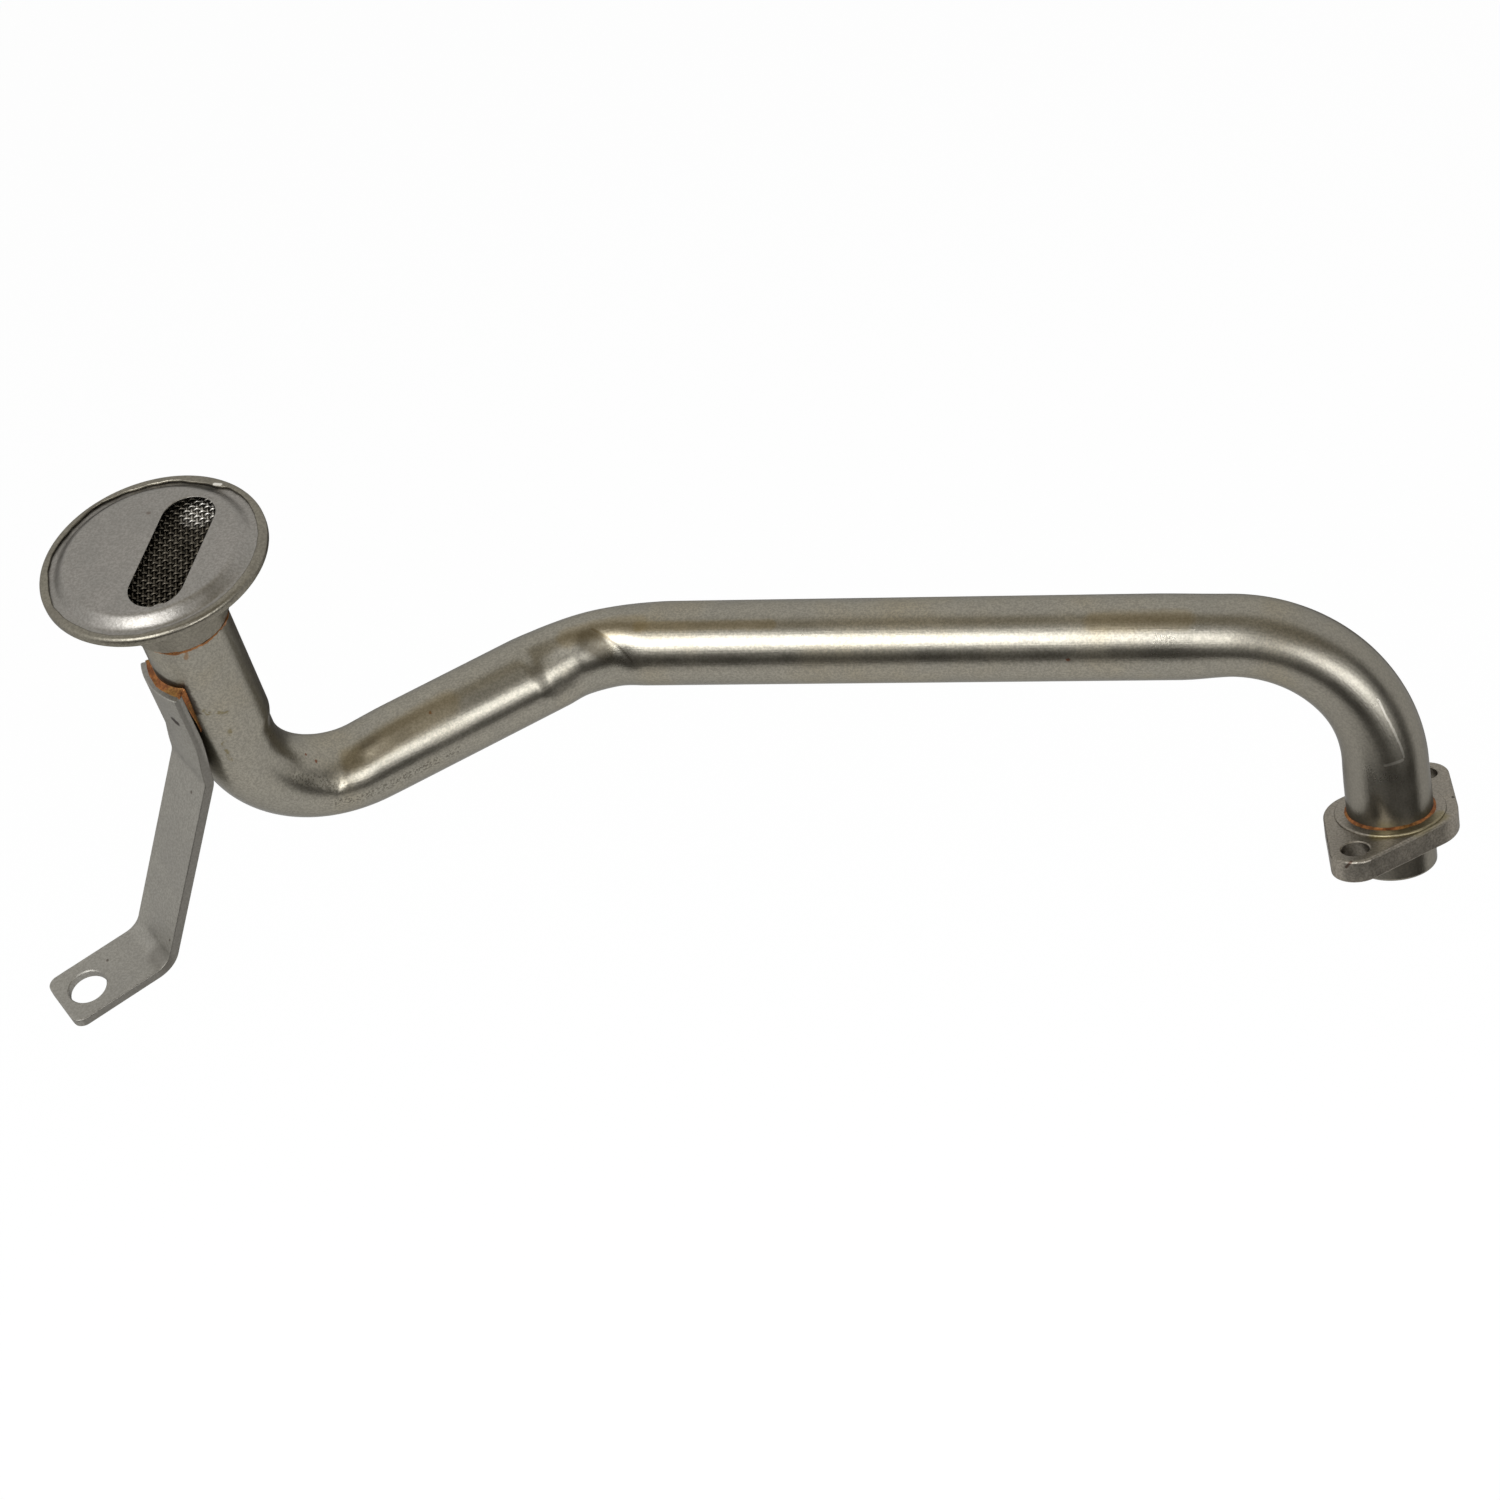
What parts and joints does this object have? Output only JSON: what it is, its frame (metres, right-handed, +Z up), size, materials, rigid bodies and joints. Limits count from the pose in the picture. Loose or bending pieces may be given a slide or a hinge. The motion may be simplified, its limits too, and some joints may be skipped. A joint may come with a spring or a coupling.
{
  "type": "oil pickup tube",
  "caption": "Bent steel tube that carries oil from a crimped strainer bell with a slotted inlet to a bolted pump flange, with a strap bracket brazed to its neck.",
  "frame": {"origin": "middle of the flange's seating face, on the axis of the spigot and of the pump's port", "axes": "+Z up the spigot's axis out of the port; the tube's first bend turns towards -X"},
  "size_m": [0.3568, 0.1318, 0.1689],
  "materials": {
    "tube_steel": "satin",
    "flange_steel": "matt",
    "bell_steel": "satin",
    "screen_wire": "satin",
    "cover_steel": "satin",
    "bracket_steel": "matt",
    "copper_braze": "satin"
  },
  "bodies": {
    "root": {"pickup_tube": "tube_steel", "pump_flange": "flange_steel", "strainer_bell": "bell_steel", "strainer_screen": "screen_wire", "strainer_cover": "cover_steel", "support_bracket": "bracket_steel", "flange_braze": "copper_braze", "bell_braze": "copper_braze", "bracket_braze": "copper_braze"}
  },
  "joints": []
}
